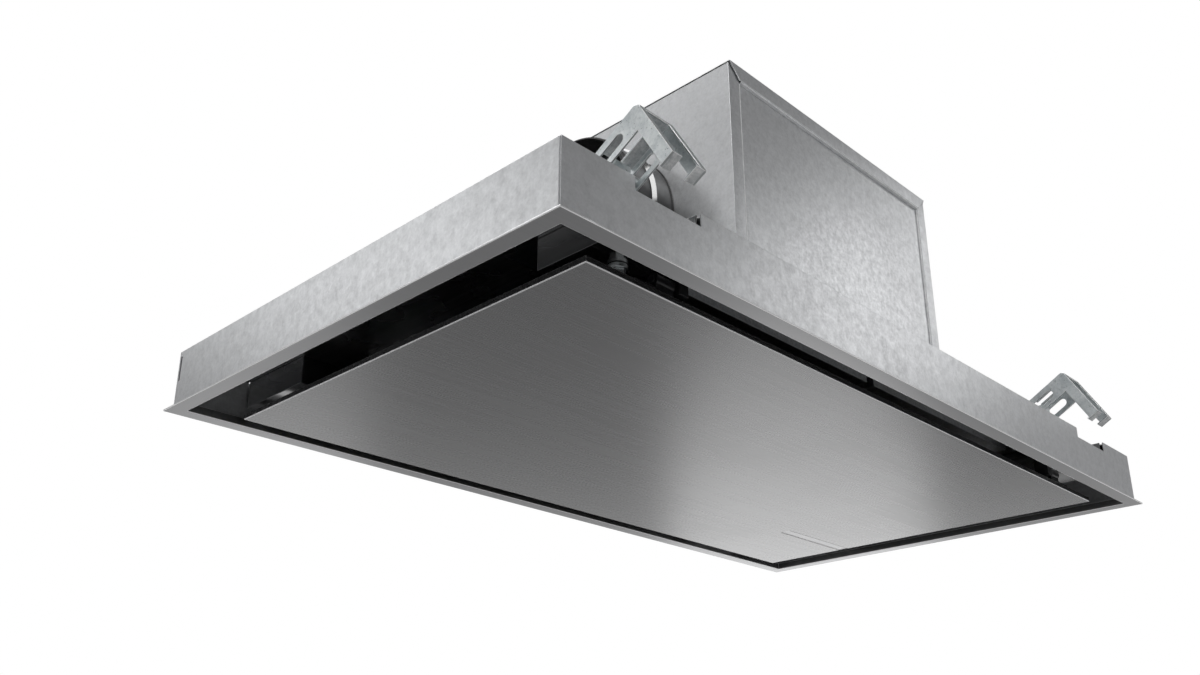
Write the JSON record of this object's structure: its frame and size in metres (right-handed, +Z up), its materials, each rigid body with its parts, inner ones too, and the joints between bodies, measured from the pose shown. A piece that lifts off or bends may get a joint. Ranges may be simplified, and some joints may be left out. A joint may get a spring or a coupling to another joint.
{
  "type": "ceiling range hood",
  "caption": "Ceiling-recessed range hood: steel casing with trim flange, drop-down cover with an air slot all round, blower box, duct collar and swing-out ceiling claws.",
  "frame": {"origin": "centre of the trim flange's underside, in the ceiling's plane", "axes": "+Z up into the ceiling, X along the hood's long side, the duct leaves towards -X"},
  "size_m": [0.9, 0.526, 0.302],
  "materials": {
    "galvanised": "hot-dip galvanised sheet, fine mottle, satin",
    "cover_steel": "stainless steel brushed along the long side",
    "trim_steel": "stainless steel, finely brushed",
    "dark_steel": "bright-rolled stainless sheet in the shade of the casing",
    "zinc": "bluish bright zinc plating, satin",
    "black_plastic": "moulded black plastic, semi-gloss",
    "grey_plastic": "moulded grey plastic, matt",
    "filter_aluminium": "expanded aluminium mesh in a folded frame",
    "circuit_board": "green solder mask"
  },
  "bodies": {
    "hood": {"ceiling_flange": "trim_steel", "casing_wall_front": "galvanised", "casing_wall_rear": "galvanised", "casing_wall_left": "galvanised", "end_baffle_left": "dark_steel", "casing_wall_right": "galvanised", "end_baffle_right": "dark_steel", "roof_plate": "galvanised", "claw_well_front_left": "black_plastic", "claw_well_front_right": "black_plastic", "claw_well_rear_left": "black_plastic", "claw_well_rear_right": "black_plastic", "filter_tray": "galvanised", "grease_filter_left": "filter_aluminium", "grease_filter_right": "filter_aluminium", "hinge_bracket_left": "black_plastic", "catch_clip_left": "black_plastic", "hinge_bracket_right": "black_plastic", "catch_clip_right": "black_plastic", "box_side_left": "galvanised", "box_side_right": "galvanised", "box_panel_front": "galvanised", "box_panel_rear": "galvanised", "box_lid": "galvanised", "duct_collar": "black_plastic", "flap_pin": "zinc", "inlet_bell": "grey_plastic", "scroll_housing": "galvanised", "scroll_top": "galvanised", "motor_plate": "galvanised", "motor": "filter_aluminium", "control_box": "grey_plastic", "control_lid": "grey_plastic", "circuit_board": "circuit_board", "terminal_block": "grey_plastic", "cable_gland": "black_plastic"},
    "cover": {"cover_panel": "cover_steel", "cover_back_pan": "dark_steel", "hinge_arm_left": "black_plastic", "hinge_arm_right": "black_plastic", "catch_stud_left": "black_plastic", "catch_stud_right": "black_plastic"},
    "latch_left": {"filter_latch_left": "grey_plastic"},
    "latch_right": {"filter_latch_right": "grey_plastic"},
    "fan": {"impeller": "black_plastic", "fan_shaft": "zinc"},
    "flap_front": {"flap_front": "black_plastic"},
    "flap_rear": {"flap_rear": "black_plastic"},
    "screw_front_left": {"claw_screw_front_left": "zinc"},
    "nut_front_left": {"claw_nut_front_left": "zinc"},
    "claw_front_left": {"claw_front_left": "zinc"},
    "screw_front_right": {"claw_screw_front_right": "zinc"},
    "nut_front_right": {"claw_nut_front_right": "zinc"},
    "claw_front_right": {"claw_front_right": "zinc"},
    "screw_rear_left": {"claw_screw_rear_left": "zinc"},
    "nut_rear_left": {"claw_nut_rear_left": "zinc"},
    "claw_rear_left": {"claw_rear_left": "zinc"},
    "screw_rear_right": {"claw_screw_rear_right": "zinc"},
    "nut_rear_right": {"claw_nut_rear_right": "zinc"},
    "claw_rear_right": {"claw_rear_right": "zinc"}
  },
  "joints": [
    {"name": "cover_hinge", "type": "hinge", "parent": "hood", "child": "cover", "pos_m": [0, -0.208, 0.013], "axis": [-1, 0, 0], "range_deg": [0, 90]},
    {"name": "filter_latch_left_slide", "type": "slide", "parent": "hood", "child": "latch_left", "axis": [1, 0, 0], "range_m": [0, 0.008], "stiffness_N_per_m": 300, "springref_m": -0.004},
    {"name": "filter_latch_right_slide", "type": "slide", "parent": "hood", "child": "latch_right", "axis": [-1, 0, 0], "range_m": [0, 0.008], "stiffness_N_per_m": 300, "springref_m": -0.004},
    {"name": "fan_spin", "type": "hinge", "parent": "hood", "child": "fan", "pos_m": [0.035, 0.055, 0.17], "axis": [0, 0, -1], "continuous": true},
    {"name": "flap_front_swing", "type": "hinge", "parent": "hood", "child": "flap_front", "pos_m": [-0.178, -0.027, 0.175], "axis": [0, 0, -1], "range_deg": [0, 75], "stiffness_Nm_per_rad": 0.02, "springref_deg": -11.46},
    {"name": "flap_rear_swing", "type": "hinge", "parent": "hood", "child": "flap_rear", "pos_m": [-0.178, -0.027, 0.175], "axis": [0, 0, 1], "range_deg": [0, 75], "stiffness_Nm_per_rad": 0.02, "springref_deg": -11.46},
    {"name": "nut_front_left_travel", "type": "slide", "parent": "hood", "child": "nut_front_left", "axis": [0, 0, -1], "range_m": [0, 0.038]},
    {"name": "screw_front_left_turn", "type": "hinge", "parent": "hood", "child": "screw_front_left", "pos_m": [-0.34275, -0.1957, 0.05], "axis": [0, 0, 1], "range_deg": [0, 13681]},
    {"name": "claw_front_left_tilt", "type": "hinge", "parent": "nut_front_left", "child": "claw_front_left", "pos_m": [-0.34275, -0.1957, 0.0949], "axis": [-1, 0, 0], "range_deg": [0, 112]},
    {"name": "nut_front_right_travel", "type": "slide", "parent": "hood", "child": "nut_front_right", "axis": [0, 0, -1], "range_m": [0, 0.038]},
    {"name": "screw_front_right_turn", "type": "hinge", "parent": "hood", "child": "screw_front_right", "pos_m": [0.34275, -0.1957, 0.05], "axis": [0, 0, 1], "range_deg": [0, 13681]},
    {"name": "claw_front_right_tilt", "type": "hinge", "parent": "nut_front_right", "child": "claw_front_right", "pos_m": [0.34275, -0.1957, 0.0949], "axis": [-1, 0, 0], "range_deg": [0, 112]},
    {"name": "nut_rear_left_travel", "type": "slide", "parent": "hood", "child": "nut_rear_left", "axis": [0, 0, -1], "range_m": [0, 0.038]},
    {"name": "screw_rear_left_turn", "type": "hinge", "parent": "hood", "child": "screw_rear_left", "pos_m": [-0.34275, 0.1957, 0.05], "axis": [0, 0, 1], "range_deg": [0, 13681]},
    {"name": "claw_rear_left_tilt", "type": "hinge", "parent": "nut_rear_left", "child": "claw_rear_left", "pos_m": [-0.34275, 0.1957, 0.0949], "axis": [1, 0, 0], "range_deg": [0, 112]},
    {"name": "nut_rear_right_travel", "type": "slide", "parent": "hood", "child": "nut_rear_right", "axis": [0, 0, -1], "range_m": [0, 0.038]},
    {"name": "screw_rear_right_turn", "type": "hinge", "parent": "hood", "child": "screw_rear_right", "pos_m": [0.34275, 0.1957, 0.05], "axis": [0, 0, 1], "range_deg": [0, 13681]},
    {"name": "claw_rear_right_tilt", "type": "hinge", "parent": "nut_rear_right", "child": "claw_rear_right", "pos_m": [0.34275, 0.1957, 0.0949], "axis": [1, 0, 0], "range_deg": [0, 112]}
  ],
  "couplings": [
    {"joint": "screw_front_left_turn", "follows": "nut_front_left_travel", "rad_per_m": 6283.2},
    {"joint": "screw_front_right_turn", "follows": "nut_front_right_travel", "rad_per_m": 6283.2},
    {"joint": "screw_rear_left_turn", "follows": "nut_rear_left_travel", "rad_per_m": 6283.2},
    {"joint": "screw_rear_right_turn", "follows": "nut_rear_right_travel", "rad_per_m": 6283.2}
  ]
}
